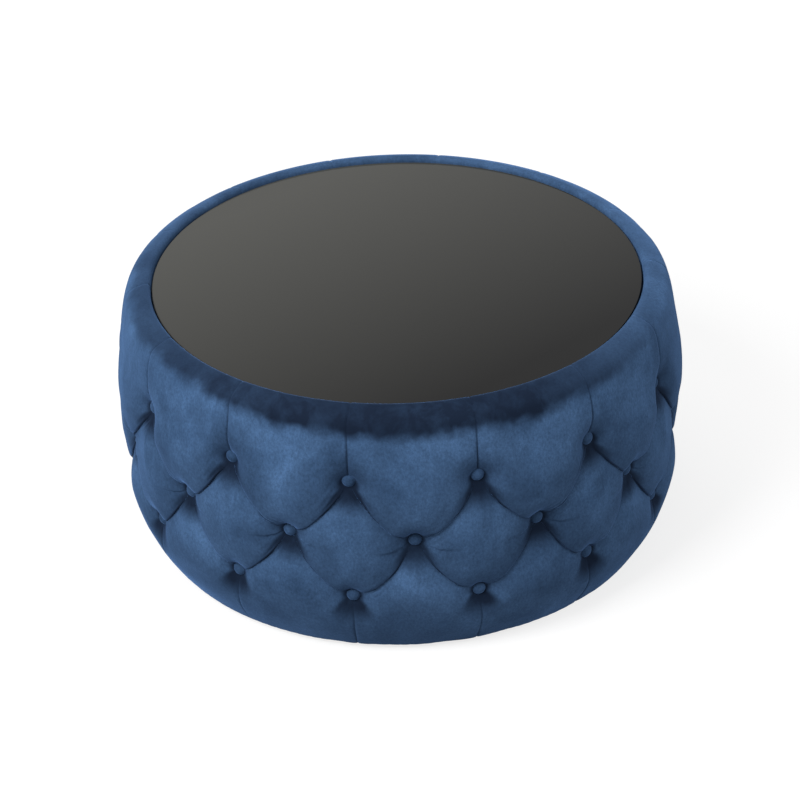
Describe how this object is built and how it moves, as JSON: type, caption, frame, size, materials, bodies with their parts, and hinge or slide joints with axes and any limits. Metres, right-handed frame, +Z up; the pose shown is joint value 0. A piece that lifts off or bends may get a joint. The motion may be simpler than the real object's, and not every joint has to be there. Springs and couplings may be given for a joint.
{
  "type": "round tufted ottoman coffee table",
  "caption": "Round deep-buttoned velvet ottoman used as a coffee table, with a dark glass plate set in its padded rim.",
  "frame": {"origin": "on the floor, below the centre of the drum", "axes": "+Z up; -Y is the front, where a button of the middle row lies"},
  "size_m": [0.7618, 0.7618, 0.3683],
  "materials": {
    "velvet": "blue pile velvet",
    "button_velvet": "blue pile velvet",
    "stuffing": "soft white fibre",
    "foam": "open-cell foam",
    "cord": "twisted twine",
    "toggle_wood": "bare",
    "hardboard": "smooth bare",
    "plywood": "bare",
    "pine": "bare",
    "plated_steel": "zinc plated",
    "dust_cloth": "nonwoven",
    "glide_plastic": "matte",
    "dark_glass": "polished, back-painted grey",
    "bumper_rubber": "soft"
  },
  "bodies": {
    "ottoman": {"upper_velvet_panels": "velvet", "upper_panel_stuffing": "stuffing", "diamond_velvet_panels": "velvet", "diamond_panel_stuffing": "stuffing", "lower_velvet_panels": "velvet", "lower_panel_stuffing": "stuffing", "cover_ground_cloth": "velvet", "side_foam": "foam", "rim_roll_foam": "foam", "button_pockets": "velvet", "upper_buttons": "button_velvet", "middle_buttons": "button_velvet", "lower_buttons": "button_velvet", "button_backs": "plated_steel", "tuft_cords": "cord", "cord_toggles": "toggle_wood", "wall_panel_right": "hardboard", "wall_panel_left": "hardboard", "wall_panel_nails": "plated_steel", "post_1": "pine", "post_2": "pine", "post_3": "pine", "post_4": "pine", "post_5": "pine", "post_6": "pine", "post_7": "pine", "base_board": "plywood", "top_board": "plywood", "base_rail_x": "pine", "base_rail_y": "pine", "centre_post": "pine", "post_screws_top": "plated_steel", "post_screws_base": "plated_steel", "centre_post_screws_top": "plated_steel", "centre_post_screws_base": "plated_steel", "rail_screws": "plated_steel", "glide_screws": "plated_steel", "dust_cover": "dust_cloth", "cover_staples_recess": "plated_steel", "cover_staples_base": "plated_steel", "dust_cover_staples": "plated_steel", "floor_glide_1": "glide_plastic", "floor_glide_2": "glide_plastic", "floor_glide_3": "glide_plastic", "floor_glide_4": "glide_plastic", "floor_glide_5": "glide_plastic", "floor_glide_6": "glide_plastic", "glass_bumper_1": "bumper_rubber", "glass_bumper_2": "bumper_rubber", "glass_bumper_3": "bumper_rubber", "glass_bumper_4": "bumper_rubber", "glass_bumper_5": "bumper_rubber", "glass_bumper_6": "bumper_rubber"},
    "glass": {"glass_top": "dark_glass"}
  },
  "joints": [
    {"name": "glass_lift", "type": "slide", "parent": "ottoman", "child": "glass", "axis": [0, 0, 1], "range_m": [0, 0.08]}
  ]
}
